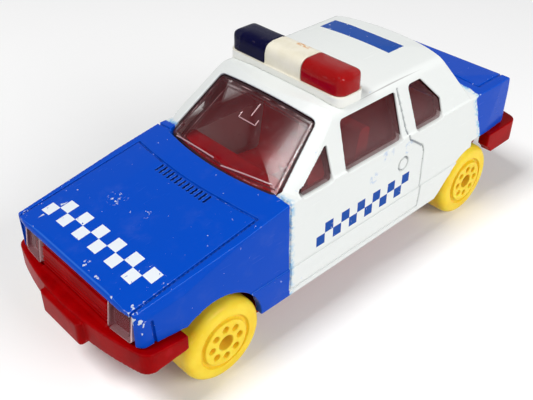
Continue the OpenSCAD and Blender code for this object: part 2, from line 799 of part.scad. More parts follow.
module headlight() {
    on_lamp() translate([-headlight_t, 0, headlight_h / 2]) rotate([90, 0, 90]) difference() {
        linear_extrude(headlight_t) lamp_outline(fit_gap);
        translate([0, 0, headlight_t - lamp_rim_h]) linear_extrude(headlight_t)
            lamp_outline(fit_gap + lamp_rim);
    }
}
module lamp_outline(i) {
    w = headlight_w / 2 - i;
    h = headlight_h / 2 - i;
    polygon(rounded([[-w, -h], [w, -h], [w, h], [-w, h]], [lamp_r, lamp_r, lamp_r, lamp_r]));
}
module headlight_left() {
    color([0.8, 0.6, 0.62, 0.7]) headlight();
}
module headlight_right() {
    color([0.8, 0.6, 0.62, 0.7]) mirror([0, 1, 0]) headlight();
}

// Pegs of the light bar, that go through the roof, widened by i
module bar_pegs(i) {
    both_sides() translate([bar_x, peg_y, roof_z - wall - roof_fall - overrun])
        cylinder(d = peg_d + 2 * i, h = wall + roof_fall + overrun);
}
// Cap outline seen along the car's width: flat below, rounded above
module cap_outline(i) {
    w = cap_depth / 2 - i;
    polygon(rounded([[-w, 0], [w, 0], [w, cap_h - i], [-w, cap_h - i]], [0, 0, cap_r, cap_r]));
}
// A closed cap over y from 0 to l, rounded at its outer end
module cap_form(l, i) {
    w = cap_depth / 2 - i;
    plan = [[-w, 0], [w, 0], [w, l - i], [-w, l - i]];
    front = [[0, 0], [l - i, 0], [l - i, cap_h - i], [0, cap_h - i]];
    intersection() {
        rotate([90, 0, 0]) translate([0, 0, -l]) linear_extrude(l) cap_outline(i);
        linear_extrude(cap_h) polygon(rounded(plan, [0, 0, cap_end_r, cap_end_r]));
        rotate([90, 0, 90]) translate([0, 0, -cap_depth]) linear_extrude(2 * cap_depth)
            polygon(rounded(front, [0, 0, cap_end_r, 0]));
    }
}
module cap() {
    translate([bar_x, block_w / 2 + fit_gap / 2, cap_z]) difference() {
        cap_form(cap_len, 0);
        difference() {
            cap_form(cap_len, cap_wall);
            translate([-cap_depth, 0, 0]) cube([2 * cap_depth, cap_wall, cap_h]);
        }
    }
}
module lightbar_lens_red() {
    color([0.75, 0.02, 0.05, 0.8]) cap();
}
module lightbar_lens_blue() {
    color([0.05, 0.05, 0.4, 0.8]) mirror([0, 1, 0]) cap();
}

module lightbar_base() {
    w = cap_depth / 2 + plate_rim;
    l = bar_len / 2 + plate_rim;
    plate = [[-w, -l], [w, -l], [w, l], [-w, l]];
    color([0.93, 0.9, 0.82]) {
        difference() {
            translate([bar_x, 0, plate_z]) linear_extrude(plate_t)
                polygon(rounded(plate, same(cap_end_r, plate)));
            cabin_form(0);
        }
        translate([bar_x, block_w / 2, cap_z]) rotate([90, 0, 0]) linear_extrude(block_w) cap_outline(0);
        bar_pegs(0);
        both_sides() translate([bar_x, block_w / 2, cap_z]) {
            translate([0, dome_out_share * cap_len, 0]) {
                cylinder(d = dome_d, h = dome_neck);
                translate([0, 0, dome_neck]) intersection() {
                    sphere(d = dome_d);
                    cylinder(d = dome_d, h = dome_d);
                }
            }
            translate([0, pin_out_share * cap_len, 0]) cylinder(d = pin_d, h = dome_d / 2 + dome_neck);
        }
    }
}

// One-piece wheel, turned about its axle, with its outer face at z = 0 and the tyre behind it
module wheel_form() {
    r = wheel_d / 2;
    hub = hub_d / 2;
    groove_z = hub_step - ring_depth;
    profile = [[0, hub_step], [hub, hub_step], [hub, groove_z], [hub + ring_w, groove_z], [hub + ring_w, 0],
               [r, 0], [r, -wheel_w], [0, -wheel_w]];
    translate([0, 0, -hub_step]) difference() {
        rotate_extrude() polygon(rounded(profile, [0, 0, 0, 0, 0, tread_r, inner_edge_r, 0]));
        translate([0, 0, hub_step - hub_hole_depth]) cylinder(d = hub_hole_d, h = hub_hole_depth + overrun);
        for (i = [0:hub_pockets - 1])
            rotate([0, 0, 360 * i / hub_pockets])
                translate([pocket_ring_share * hub, 0, hub_step - pocket_depth])
                    cylinder(d = pocket_d, h = pocket_depth + overrun);
        translate([0, 0, -wheel_w - overrun]) cylinder(d = axle_d, h = wheel_w + 2 * overrun);
    }
}
module wheel(x) {
    color([0.96, 0.83, 0.2]) translate([x, wheel_face, axle_z]) rotate([-90, 0, 0]) wheel_form();
}
module axle(x) {
    color([0.7, 0.7, 0.72]) translate([x, 0, axle_z]) rotate([90, 0, 0])
        cylinder(d = axle_d, h = 2 * axle_half, center = true);
}
module front_axle() {
    axle(axle_fx);
}
module rear_axle() {
    axle(axle_rx);
}
module wheel_front_left() {
    wheel(axle_fx);
}
module wheel_front_right() {
    mirror([0, 1, 0]) wheel(axle_fx);
}
module wheel_rear_left() {
    wheel(axle_rx);
}
module wheel_rear_right() {
    mirror([0, 1, 0]) wheel(axle_rx);
}

body_shell();
window_glazing();
cabin_interior();
chassis_base();
headlight_left();
headlight_right();
lightbar_base();
lightbar_lens_red();
lightbar_lens_blue();
front_axle();
rear_axle();
wheel_front_left();
wheel_front_right();
wheel_rear_left();
wheel_rear_right();
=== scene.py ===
import math

import bmesh
import bpy
import numpy as np
from mathutils import Matrix, Vector

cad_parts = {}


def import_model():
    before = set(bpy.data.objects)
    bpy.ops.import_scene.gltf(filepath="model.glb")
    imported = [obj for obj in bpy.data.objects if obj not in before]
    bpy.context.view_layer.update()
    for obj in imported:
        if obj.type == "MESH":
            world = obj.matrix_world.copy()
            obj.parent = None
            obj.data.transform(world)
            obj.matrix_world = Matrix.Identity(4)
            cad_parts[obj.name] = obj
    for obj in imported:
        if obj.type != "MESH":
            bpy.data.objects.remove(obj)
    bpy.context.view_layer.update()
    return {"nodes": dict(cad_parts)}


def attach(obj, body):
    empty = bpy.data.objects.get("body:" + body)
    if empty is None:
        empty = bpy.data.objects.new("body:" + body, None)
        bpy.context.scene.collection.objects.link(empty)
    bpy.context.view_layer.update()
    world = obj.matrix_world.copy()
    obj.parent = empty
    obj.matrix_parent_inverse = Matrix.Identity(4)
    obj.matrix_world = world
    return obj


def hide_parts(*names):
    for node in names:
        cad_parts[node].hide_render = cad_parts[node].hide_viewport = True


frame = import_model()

MM = 0.001
scene = bpy.context.scene

# The car's shape in millimetres, where the looks follow it

COWL_X, COWL_Z = 14.85, 20.2        # foot of the windscreen
DECK_X, DECK_Z = -24.95, 20.5       # foot of the rear window
SCREEN_TOP_Z = 27.3
SCREEN_RUN, REAR_RUN = 9.4, 5.9     # how far each screen leans along the car
SCREEN_ANGLE = math.atan2(SCREEN_TOP_Z - COWL_Z, SCREEN_RUN)
REAR_ANGLE = math.atan2(SCREEN_TOP_Z - DECK_Z, REAR_RUN)
SCREEN_R = 36.0                     # radius of the screens' bow
PANE_IN = 0.22                      # how far the pane lies inside the skin
PANE_HALF, PANE_TOP, PANE_TAPER = 10.2, 11.28, 0.15
BELT_Y, BELT_Z, SIDE_LEAN = 12.2, 19.7, 0.335
ROOF_X, ROOF_HALF, ROOF_Z, ROOF_FALL, ROOF_CROWN = -6.8, 12.25, 27.75, 0.4, 0.0053
WINDOW_Z = (20.35, 20.55)           # the windows begin here
DOOR_LINE = ((-11.55, 17.4), (-10.2, 18.4), (-8.9, 19.3), (-8.35, 20.8), (-7.8, 26.2))
LINE_WIDTH, LINE_DEPTH = 0.3, 0.18
HUBS = ((23.65, 5.6, 1.25), (-24.35, 5.6, 1.25))
LENS_FOOT_Z = 28.7                  # lenses are rounded above this, away from the middle block
LENS_INNER_Y = 3.6
BAR_PLATE_Z = (28.3, 28.6)          # upper edge of the light bar's plate

# Where the paint changes and where it is worn

NOSE_BLUE_X, POST_FOOT_Z, POST_LEAN = 13.2, 20.55, 1.5
FAR_SIDE_Y, FAR_SHIFT = (-7.5, -10.5), 1.1
TAIL_BLUE_X, TAIL_LEAN, DECK_EDGE_Z, DECK_SHIFT = -23.65, 0.392, 20.4, 1.2
CHEQUER_ROWS, CHEQUER_COLUMNS = 2, 12
HOOD_ROWS_X, HOOD_SQUARE, HOOD_HALF = 29.3, 1.62, 9.72
DOOR_ROWS_Z, DOOR_SQUARE, DOOR_HALF, DOOR_MIDDLE_X = 11.25, 1.5, 9.0, -0.4
BAND_X, BAND_HALF, BAND_MIDDLE_Y = (-15.9, -12.7), 6.2, -1.7
VENT_X, VENT_HALF, LOUVRE_PITCH = (18.3, 19.6), 4.7, 0.75
HOOD_SCUFFS = ((25.5, -4.0, 1.5), (25.1, 1.0, 0.8), (34.0, 2.1, 0.7))
DOOR_RUBS = ((-4.4, 19.0, 1.4), (-8.8, 18.3, 1.3), (-1.8, 16.6, 1.0))

SOCKETS = {"colour": "Base Color", "roughness": "Roughness", "metallic": "Metallic", "alpha": "Alpha",
           "coat": "Coat Weight", "coat_roughness": "Coat Roughness", "specular": "Specular IOR Level",
           "subsurface": "Subsurface Weight", "subsurface_scale": "Subsurface Scale"}


class Graph:
    """Writes one material's nodes; positions in it are the car's own millimetres."""

    def __init__(self, name):
        self.mat = bpy.data.materials.new(name)
        self.mat.use_nodes = True
        self.tree = self.mat.node_tree
        self.shader = self.tree.nodes["Principled BSDF"]
        scale = self.add("ShaderNodeVectorMath", operation="SCALE")
        self.put(scale.inputs[0], self.add("ShaderNodeTexCoord").outputs["Object"])
        scale.inputs["Scale"].default_value = 1 / MM
        self.mm = scale.outputs[0]
        split = self.add("ShaderNodeSeparateXYZ")
        self.put(split.inputs[0], self.mm)
        self.x, self.y, self.z = split.outputs
        geometry = self.add("ShaderNodeNewGeometry")
        self.pointy = geometry.outputs["Pointiness"]
        normal = self.add("ShaderNodeSeparateXYZ")
        self.put(normal.inputs[0], geometry.outputs["Normal"])
        self.nx, self.ny, self.nz = normal.outputs

    def add(self, kind, **props):
        node = self.tree.nodes.new(kind)
        for key, value in props.items():
            setattr(node, key, value)
        return node

    def put(self, socket, value):
        if isinstance(value, bpy.types.NodeSocket):
            self.tree.links.new(value, socket)
        elif isinstance(value, tuple) and len(value) == 3 and socket.type == "RGBA":
            socket.default_value = (*value, 1)
        else:
            socket.default_value = value

    def math(self, operation, *values):
        node = self.add("ShaderNodeMath", operation=operation)
        for socket, value in zip(node.inputs, values):
            self.put(socket, value)
        return node.outputs[0]

    def fold(self, operation, values):
        out = values[0]
        for value in values[1:]:
            out = self.math(operation, out, value)
        return out

    def total(self, *values):
        return self.fold("ADD", values)

    def times(self, *values):
        return self.fold("MULTIPLY", values)

    def most(self, *values):
        return self.fold("MAXIMUM", values)

    def least(self, *values):
        return self.fold("MINIMUM", values)

    def minus(self, a, b):
        return self.math("SUBTRACT", a, b)

    def size(self, value):
        return self.math("ABSOLUTE", value)

    def away(self, a, b):
        """Length of the vector (a, b)."""
        return self.math("SQRT", self.total(self.times(a, a), self.times(b, b)))

    def step(self, value, low, high):
        """0 at low, 1 at high, smooth between and level beyond; low may be the greater."""
        node = self.add("ShaderNodeMapRange", interpolation_type="SMOOTHSTEP", clamp=True)
        for socket, item in zip(node.inputs, (value, low, high, 0.0, 1.0)):
            self.put(socket, item)
        return node.outputs[0]

    def between(self, value, low, high, soft):
        """1 from low to high with soft edges, 0 elsewhere."""
        return self.times(self.step(value, low - soft, low + soft),
                          self.step(value, high + soft, high - soft))

    def within(self, value, low, high):
        """1 from low to high with hard edges, 0 elsewhere."""
        return self.times(self.math("GREATER_THAN", value, low), self.math("LESS_THAN", value, high))

    def noise(self, scale, detail=3.0, rough=0.5, stretch=None, shift=0.0):
        """Noise with scale features per millimetre; shift keeps the layers' patterns apart."""
        vector = self.mm
        if stretch or shift:
            mapping = self.add("ShaderNodeMapping")
            self.put(mapping.inputs["Vector"], vector)
            mapping.inputs["Location"].default_value = (shift, shift, shift)
            mapping.inputs["Scale"].default_value = stretch or (1, 1, 1)
            vector = mapping.outputs[0]
        node = self.add("ShaderNodeTexNoise")
        self.put(node.inputs["Vector"], vector)
        node.inputs["Scale"].default_value = scale
        node.inputs["Detail"].default_value = detail
        node.inputs["Roughness"].default_value = rough
        return node.outputs[0]

    def blend(self, factor, a, b):
        node = self.add("ShaderNodeMix", data_type="RGBA")
        self.put(node.inputs[0], factor)
        self.put(node.inputs[6], a)
        self.put(node.inputs[7], b)
        return node.outputs[2]

    def spread(self, factor, low, high):
        """Linear from low to high as factor goes from 0 to 1."""
        return self.math("MULTIPLY_ADD", factor, high - low, low)

    def bump(self, height, distance, strength):
        node = self.add("ShaderNodeBump")
        node.inputs["Strength"].default_value = strength
        node.inputs["Distance"].default_value = distance * MM
        self.put(node.inputs["Height"], height)
        self.put(self.shader.inputs["Normal"], node.outputs[0])

    def set(self, **values):
        for key, value in values.items():
            self.put(self.shader.inputs[SOCKETS[key]], value)
        return self.mat


def linear(r, g, b):
    """Linear colour of an 8-bit screen colour."""
    def one(v):
        v /= 255
        return v / 12.92 if v <= 0.04045 else ((v + 0.055) / 1.055) ** 2.4
    return (one(r), one(g), one(b))


WHITE = linear(229, 232, 230)
BLUE = linear(0, 71, 188)
PALE_CYAN = linear(120, 185, 225)
# paler blue for the painted highlight on the blue paint's rounded edges
GLINT_BLUE = linear(70, 135, 232)
# darker blue for painted shade in the blue paint's creases
SEAM_SHADE_BLUE = linear(0, 26, 92)
# painted shade in the louvre slits and a painted highlight on their edges
SLIT_SHADE_BLUE, SLIT_GLINT_BLUE = linear(0, 20, 78), linear(120, 170, 240)
MARK_WHITE, MARK_BLUE = linear(226, 232, 238), linear(12, 72, 160)
BARE_METAL = linear(205, 214, 226)
RUB_BLUE = linear(120, 160, 215)
SMUDGE_GREY = linear(176, 182, 190)
# grey for grime and painted shade in the creases, and for the door line's groove
GRIME_AND_SHADE = linear(70, 78, 92)
# dark red for painted shade on the window reveals and inside the cabin
REVEAL_SHADE = linear(58, 18, 26)


# Masks that the materials share

def stroke(g, a, b, path, width):
    """1 on a thin line along the path of (a, b) points, 0 elsewhere."""
    soft = 0.05
    out = 0.0
    for (a0, b0), (a1, b1) in zip(path, path[1:]):
        length = math.hypot(a1 - a0, b1 - b0)
        ua, ub = (a1 - a0) / length, (b1 - b0) / length
        da, db = g.minus(a, a0), g.minus(b, b0)
        along = g.total(g.times(da, ua), g.times(db, ub))
        past = g.minus(along, g.least(g.most(along, 0.0), length))
        off = g.total(g.times(da, -ub), g.times(db, ua))
        out = g.most(g.step(g.away(past, off), width / 2 + soft, width / 2 - soft), out)
    return out


def spots(g, a, b, places):
    """1 at the middle of each round place (a, b, radius), 0 from its radius on."""
    out = 0.0
    for at_a, at_b, radius in places:
        away = g.away(g.minus(a, at_a), g.minus(b, at_b))
        out = g.most(g.step(away, radius, radius * 0.5), out)
    return out


def chequer(g, row_axis, column_axis, row_start, size, half):
    """Rows of alternating squares, from row_start up, over twice half of the other axis."""
    width = 2 * half / CHEQUER_COLUMNS
    row = g.math("FLOOR", g.math("DIVIDE", g.minus(row_axis, row_start), size))
    column = g.math("FLOOR", g.math("DIVIDE", g.total(column_axis, half), width))
    odd = g.math("FLOORED_MODULO", g.total(row, column), 2.0)
    return g.times(odd, g.within(row_axis, row_start, row_start + CHEQUER_ROWS * size),
                   g.within(column_axis, -half, half))


# The body's enamel

def two_tone(g):
    """White with a blue nose and tail, and a painted highlight on the blue's rounded edges: the colour, and
    the share of blue.
    """
    wobble = g.total(g.spread(g.noise(0.7, 4), -0.35, 0.35), g.spread(g.noise(5, 3, shift=7), -0.14, 0.14))
    above_cowl = g.most(g.minus(g.z, POST_FOOT_Z), 0.0)
    far_side = g.step(g.y, *FAR_SIDE_Y)
    front = g.total(g.x, -NOSE_BLUE_X, g.times(above_cowl, -POST_LEAN), g.times(far_side, FAR_SHIFT), wobble)
    below_belt = g.most(g.minus(BELT_Z, g.z), 0.0)
    on_deck = g.step(g.z, BELT_Z, DECK_EDGE_Z)
    rear_edge = g.total(TAIL_BLUE_X, g.times(below_belt, -TAIL_LEAN), g.times(on_deck, -DECK_SHIFT))
    rear = g.total(rear_edge, g.times(g.x, -1.0), wobble)
    inside = g.most(front, rear)
    blue = g.step(inside, -0.1, 0.1)
    haze = g.times(g.step(inside, -1.0, 0.05), g.step(g.noise(1.7, 4, shift=3), 0.38, 0.62))
    colour = g.blend(blue, g.blend(haze, WHITE, PALE_CYAN), BLUE)
    # painted highlight: paler blue where the rounded edges of the blue paint turn from top to side
    edge_glint = g.times(blue, g.between(g.nz, 0.66, 0.8, 0.05))
    return g.blend(g.times(edge_glint, 0.38), colour, GLINT_BLUE), blue


def markings(g, colour, up, side):
    """Chequers on the hood and doors, and a plain band on the roof, all a little worn."""
    worn = g.step(g.noise(1.4, 6, 0.62, shift=11), 0.31, 0.34)
    hood = chequer(g, g.x, g.y, HOOD_ROWS_X, HOOD_SQUARE, HOOD_HALF)
    colour = g.blend(g.times(up, worn, hood), colour, MARK_WHITE)
    door = chequer(g, g.z, g.total(g.x, -DOOR_MIDDLE_X), DOOR_ROWS_Z, DOOR_SQUARE, DOOR_HALF)
    colour = g.blend(g.times(side, worn, door), colour, MARK_BLUE)
    across = g.total(g.y, -BAND_MIDDLE_Y)
    band = g.times(g.step(g.z, 24, 25), g.within(g.x, *BAND_X), g.within(across, -BAND_HALF, BAND_HALF))
    return g.blend(g.times(up, worn, band), colour, MARK_BLUE)


def bare_metal(g, up, vents):
    """1 where the paint is chipped, nicked or scuffed off, most of all at the nose."""
    nose = g.step(g.x, 26, 34)
    edge = g.step(g.pointy, 0.525, 0.57)
    chip_noise = g.total(g.times(nose, 0.1), g.noise(1.1, 5, 0.62, shift=23))
    chips = g.times(edge, g.minus(1.0, vents), g.step(chip_noise, 0.63, 0.665))
    nick_noise = g.total(g.times(nose, 0.03), g.noise(0.9, 6, 0.68, shift=41))
    nicks = g.step(nick_noise, 0.75, 0.765)
    specks = g.step(g.noise(1.9, 5, 0.65, shift=83), 0.585, 0.62)
    scuffs = g.times(up, specks, spots(g, g.x, g.y, HOOD_SCUFFS))
    corner = g.times(g.step(g.x, 32.6, 34.4), g.step(g.size(g.y), 9.6, 11.2), g.step(g.z, 12.5, 15.5))
    knock_noise = g.total(g.times(corner, 0.15), g.noise(1.5, 4, 0.6, shift=71))
    knocks = g.step(knock_noise, 0.71, 0.74)
    return g.most(chips, nicks, scuffs, knocks)


def louvres(g, colour, vents):
    """Painted shade in the slits between the cowl's louvres, and a painted highlight along one edge of each.
    """
    half = LOUVRE_PITCH / 2
    tooth = g.minus(g.math("FLOORED_MODULO", g.total(g.y, half), LOUVRE_PITCH), half)
    colour = g.blend(g.times(vents, g.within(tooth, 0.15, 0.24), 0.5), colour, SLIT_GLINT_BLUE)
    return g.blend(g.times(vents, g.within(tooth, -0.16, 0.15), 0.9), colour, SLIT_SHADE_BLUE)


def reveals(g):
    """1 on the cut edges of the windows and inside the cabin, where painted shade goes, 0 on the outer skin.
    """
    bow = g.minus(g.math("SQRT", g.minus(SCREEN_R ** 2, g.times(g.y, g.y))), SCREEN_R)
    s, c = math.sin(SCREEN_ANGLE), math.cos(SCREEN_ANGLE)
    ahead = g.total(g.times(g.x, -s), g.times(g.z, -c), COWL_X * s + COWL_Z * c, bow)
    s, c = math.sin(REAR_ANGLE), math.cos(REAR_ANGLE)
    behind = g.total(g.times(g.x, s), g.times(g.z, -c), DECK_Z * c - DECK_X * s, bow)
    beside = g.total(g.times(g.size(g.y), -1.0), g.times(g.z, -SIDE_LEAN), BELT_Y + SIDE_LEAN * BELT_Z)
    along = g.math("DIVIDE", g.total(g.x, -ROOF_X), ROOF_HALF)
    over = g.total(g.times(g.z, -1.0), ROOF_Z, g.times(along, along, -ROOF_FALL),
                   g.times(g.y, g.y, -ROOF_CROWN))
    depth = g.least(ahead, behind, beside, over)
    return g.times(g.step(depth, 0.2, 0.34), g.step(g.z, *WINDOW_Z))


def enamel():
    g = Graph("two_tone_enamel")
    up = g.step(g.nz, 0.6, 0.8)
    sideways = g.step(g.size(g.ny), 0.6, 0.8)
    side = g.times(sideways, g.step(g.size(g.y), 11.9, 12.1))
    vents = g.times(g.within(g.x, *VENT_X), g.within(g.y, -VENT_HALF, VENT_HALF))
    bare = bare_metal(g, up, vents)
    # grime and painted shade: darker in creases and hollows
    crease_grime_and_shade = g.step(g.pointy, 0.485, 0.45)
    rubs = g.times(side, g.step(g.y, 0.0, 1.0), g.step(g.noise(1.3, 5, 0.65, shift=29), 0.5, 0.58),
                   spots(g, g.x, g.z, DOOR_RUBS))
    groove = g.times(sideways, stroke(g, g.x, g.z, DOOR_LINE, LINE_WIDTH))
    smudge = g.step(g.noise(0.28, 5, 0.6, shift=57), 0.5, 0.8)

    colour, blue = two_tone(g)
    colour = markings(g, colour, up, side)
    colour = g.blend(bare, colour, BARE_METAL)
    colour = g.blend(g.times(crease_grime_and_shade, 0.6), colour, g.blend(blue, GRIME_AND_SHADE, SEAM_SHADE_BLUE))
    # painted shade and painted highlights on the cowl's louvres
    colour = louvres(g, colour, vents)
    colour = g.blend(g.times(rubs, 0.42), colour, RUB_BLUE)
    colour = g.blend(g.times(groove, 0.5), colour, GRIME_AND_SHADE)
    colour = g.blend(g.times(smudge, 0.035), colour, SMUDGE_GREY)
    # painted shade on the window reveals and inside the cabin
    colour = g.blend(reveals(g), colour, REVEAL_SHADE)

    scratches = g.step(g.noise(1.0, 2, 0.5, stretch=(0.35, 3.2, 3.2), shift=5), 0.62, 0.72)
    rough = g.total(0.16, g.times(smudge, 0.12), g.times(bare, 0.25), g.times(scratches, 0.12))
    g.bump(g.total(g.times(g.noise(1.6, 2), 0.5), g.times(bare, -0.6), g.times(g.noise(7, 2), 0.12)),
           0.03, 0.35)
    return g.set(colour=colour, roughness=rough, specular=0.06)


# Plastics and steel

def red_plastic(name, colour, worn_colour, wear):
    g = Graph(name)
    edge = g.step(g.pointy, 0.52, 0.58)
    rub = g.times(edge, g.step(g.noise(0.8, 5, 0.6), 0.40, 0.62))
    deep = tuple(c * 0.72 for c in colour)
    mottled = g.blend(g.step(g.noise(0.35, 4, 0.6, shift=9), 0.35, 0.75), colour, deep)
    dust = g.step(g.noise(0.6, 6, 0.66, shift=31), 0.56, 0.78)
    shown = g.blend(g.times(rub, wear), mottled, worn_colour)
    shown = g.blend(g.times(dust, wear * 0.25), shown, worn_colour)
    g.bump(g.total(g.noise(3.0, 4), g.times(rub, 0.4)), 0.03, 0.4)
    rough = g.total(0.32, g.times(rub, 0.25), g.times(dust, 0.15))
    return g.set(colour=shown, roughness=rough, specular=0.03)


def yellow_plastic():
    g = Graph("yellow_moulded_plastic")
    tone = g.step(g.noise(0.3, 3, 0.6), 0.3, 0.7)
    colour = g.blend(tone, linear(240, 203, 40), linear(247, 217, 62))
    # painted shade: deeper orange in the hollows and the hub holes, standing in for shade and for light
    # passing through the yellow plastic
    hollow_shade = g.step(g.pointy, 0.49, 0.43)
    hollow_shade = g.most(g.times(hollow_shade, 0.6), g.times(spots(g, g.x, g.z, HUBS), 0.85))
    colour = g.blend(hollow_shade, colour, linear(212, 136, 6))
    scuff = g.times(g.step(g.pointy, 0.51, 0.56), g.step(g.noise(1.3, 5, 0.6, shift=3), 0.5, 0.7))
    colour = g.blend(g.times(scuff, 0.3), colour, linear(252, 232, 140))
    g.bump(g.noise(2.4, 4), 0.02, 0.35)
    return g.set(colour=colour, roughness=g.spread(g.noise(0.9, 3), 0.24, 0.42), specular=0.15,
                 subsurface=0.35, subsurface_scale=1.2 * MM)


def ivory_plastic():
    g = Graph("ivory_moulded_plastic")
    plate_low, plate_high = BAR_PLATE_Z
    tone = g.step(g.noise(0.4, 5, 0.6), 0.35, 0.75)
    colour = g.blend(tone, linear(236, 230, 212), linear(226, 219, 196))
    colour = g.blend(g.step(g.z, plate_high, plate_low), colour, linear(234, 234, 228))
    under_lens = g.times(g.step(g.z, plate_high - 0.08, plate_high), g.step(g.size(g.y), 3.2, 3.3))
    # painted light: the ivory domes under the lenses are coloured red and blue, standing in for light tinted
    # by the lenses
    lens_tinted_light = g.blend(g.step(g.y, -0.1, 0.1), linear(20, 30, 150), linear(226, 20, 30))
    colour = g.blend(under_lens, colour, lens_tinted_light)
    # painted shade: darker in the hollows
    hollow_shade = g.step(g.pointy, 0.49, 0.42)
    colour = g.blend(g.times(hollow_shade, 0.5), colour, linear(160, 150, 128))
    lengthwise = g.between(g.y, -0.4, 1.7, 0.2)
    top_edge = g.times(g.step(g.z, 30.2, 30.5), g.between(g.x, -1.0, -0.15, 0.15))
    stain = g.times(lengthwise, top_edge, g.step(g.noise(1.5, 5, 0.65, shift=2), 0.44, 0.54))
    colour = g.blend(g.times(stain, 0.85), colour, linear(214, 140, 40))
    specks = g.step(g.noise(1.1, 6, 0.7, shift=19), 0.68, 0.74)
    colour = g.blend(g.times(specks, 0.35), colour, linear(150, 140, 122))
    g.bump(g.noise(2.5, 4), 0.02, 0.35)
    return g.set(colour=colour, roughness=g.spread(g.noise(0.8, 3), 0.26, 0.44))


def clear_plastic(name, colour, alpha, rough, rubbed=1.0, rim=None, specular=0.5):
    """Tinted moulding, seen through where it is clean, veiled by fine rubs and scratches."""
    g = Graph(name)
    rubs = g.step(g.noise(0.55, 6, 0.68, shift=4), 0.52, 0.80)
    lines = g.most(g.step(g.noise(1.1, 2, 0.5, stretch=(0.4, 4.5, 1.2), shift=2), 0.69, 0.72),
                   g.step(g.noise(1.1, 2, 0.5, stretch=(3.4, 0.5, 0.9), shift=14), 0.70, 0.73))
    haze = g.most(g.times(rubs, 0.09 * rubbed), g.times(lines, 0.22 * rubbed))
    shown = g.blend(haze, colour, linear(196, 170, 172))
    veil = haze
    coat = 0.2 * rubbed
    rough = g.total(rough, g.times(rubs, 0.10))
    if rim:
        # the rim's pale mask carries painted highlights and reflections, and its dark mask carries painted
        # shade
        pale, dark = rim(g)
        shown = g.blend(pale, g.blend(dark, shown, linear(40, 14, 20)), linear(226, 192, 194))
        veil = g.most(haze, g.times(pale, 0.65), g.times(dark, 0.85))
        coat = g.spread(dark, coat, 0.0)
        rough = g.total(rough, g.times(dark, 0.7))
    g.bump(g.total(g.noise(0.35, 2), g.times(lines, -0.3)), 0.05, 0.25)
    return g.set(colour=shown, alpha=g.spread(veil, alpha, 1.0), roughness=rough, coat=coat,
                 coat_roughness=0.06, specular=specular)


def screen_rim(g):
    """The windscreen's border, painted shade in a dark band with a painted highlight line inside it, and a
    painted reflection on the side glass.
    """
    s, c = math.sin(SCREEN_ANGLE), math.cos(SCREEN_ANGLE)
    up = g.total(g.times(g.x, -c), g.times(g.z, s), COWL_X * c - COWL_Z * s)
    share = g.math("DIVIDE", g.y, PANE_HALF)
    foot = g.total(up, -0.15, g.times(share, share, -1.0))
    flank = g.total(g.times(g.size(g.y), -1.0), g.times(up, -PANE_TAPER), PANE_HALF)
    inset = g.least(foot, flank, g.minus(PANE_TOP, up))
    ahead = g.times(g.step(g.nx, 0.25, 0.4), g.step(g.x, 3.0, 4.0))
    # painted highlight along the pane's edge
    pale = g.times(g.between(inset, 0.52, 0.60, 0.05), g.step(g.noise(0.5, 4, 0.6, shift=6), 0.42, 0.62))
    # painted shade in the border
    dark = g.most(g.step(inset, 0.46, 0.36), g.times(g.between(inset, 0.72, 0.95, 0.06), 0.7))
    # painted reflection of the pale surroundings on the side glass, stronger towards the bottom
    beside = g.times(g.step(g.size(g.ny), 0.6, 0.8), g.spread(g.step(g.z, 25.5, 20.5), 0.03, 0.16))
    return g.most(g.times(pale, ahead), beside), g.times(dark, ahead)


def lamp_rim(g):
    """A painted highlight round each headlight, and painted shade in its upper part."""
    places = [v.co / MM for v in frame["nodes"]["headlight_left"].data.vertices]
    low, high = (Vector([pick(axis) for axis in zip(*places)]) for pick in (min, max))
    side = g.size(g.y)
    inset = g.least(g.minus(side, low.y), g.minus(high.y, side), g.minus(g.z, low.z), g.minus(high.z, g.z))
    dark = g.times(g.step(g.z, low.z + 2.2, high.z - 0.3), g.step(inset, 0.3, 0.5), 0.6)
    return g.step(inset, 0.26, 0.18), dark


def steel():
    g = Graph("plain_steel")
    rings = g.noise(1.0, 4, 0.6, stretch=(0.6, 9, 0.6))
    g.bump(rings, 0.01, 0.3)
    return g.set(colour=g.blend(rings, linear(150, 152, 156), linear(198, 200, 204)), metallic=1.0,
                 roughness=g.spread(rings, 0.25, 0.45))


ENAMEL = enamel()
BASE_RED = red_plastic("base_red_plastic", linear(158, 0, 3), linear(186, 60, 70), wear=0.16)
# painted light: the interior is the base's red plastic, painted lighter to stand in for light that the
# closed cabin lacks
LIT_CABIN_RED = red_plastic("interior_red_plastic", linear(232, 18, 28), linear(220, 80, 86), wear=0.2)
YELLOW = yellow_plastic()
IVORY = ivory_plastic()
GLAZING = clear_plastic("rose_clear_plastic", linear(96, 0, 14), alpha=0.30, rough=0.18, rim=screen_rim,
                        specular=0.45)
RIDGE = clear_plastic("rose_ridge_plastic", linear(206, 164, 166), alpha=0.75, rough=0.2)
LAMP = clear_plastic("lamp_clear_plastic", linear(112, 48, 58), alpha=0.50, rough=0.08, rubbed=0.5,
                     rim=lamp_rim, specular=0.12)
RED_LENS = clear_plastic("red_clear_plastic", linear(162, 0, 2), alpha=0.84, rough=0.04, rubbed=0.25,
                         specular=0.14)
BLUE_LENS = clear_plastic("blue_clear_plastic", linear(0, 0, 48), alpha=0.90, rough=0.04, rubbed=0.25,
                          specular=0.06)
STEEL = steel()


# Softened copies of the CAD solids, with the rounded edges that casting and moulding leave

JOIN_DISTANCE = 1e-6    # metres
RELAX_FACTOR = 0.5
LOOSE_PASSES = 90


def dress(obj, material):
    obj.data.materials.clear()
    obj.data.materials.append(material)


def bake_modifiers(obj):
    """Gives the object the mesh that its modifiers make."""
    mesh = bpy.data.meshes.new_from_object(obj.evaluated_get(bpy.context.evaluated_depsgraph_get()))
    obj.modifiers.clear()
    obj.data = mesh


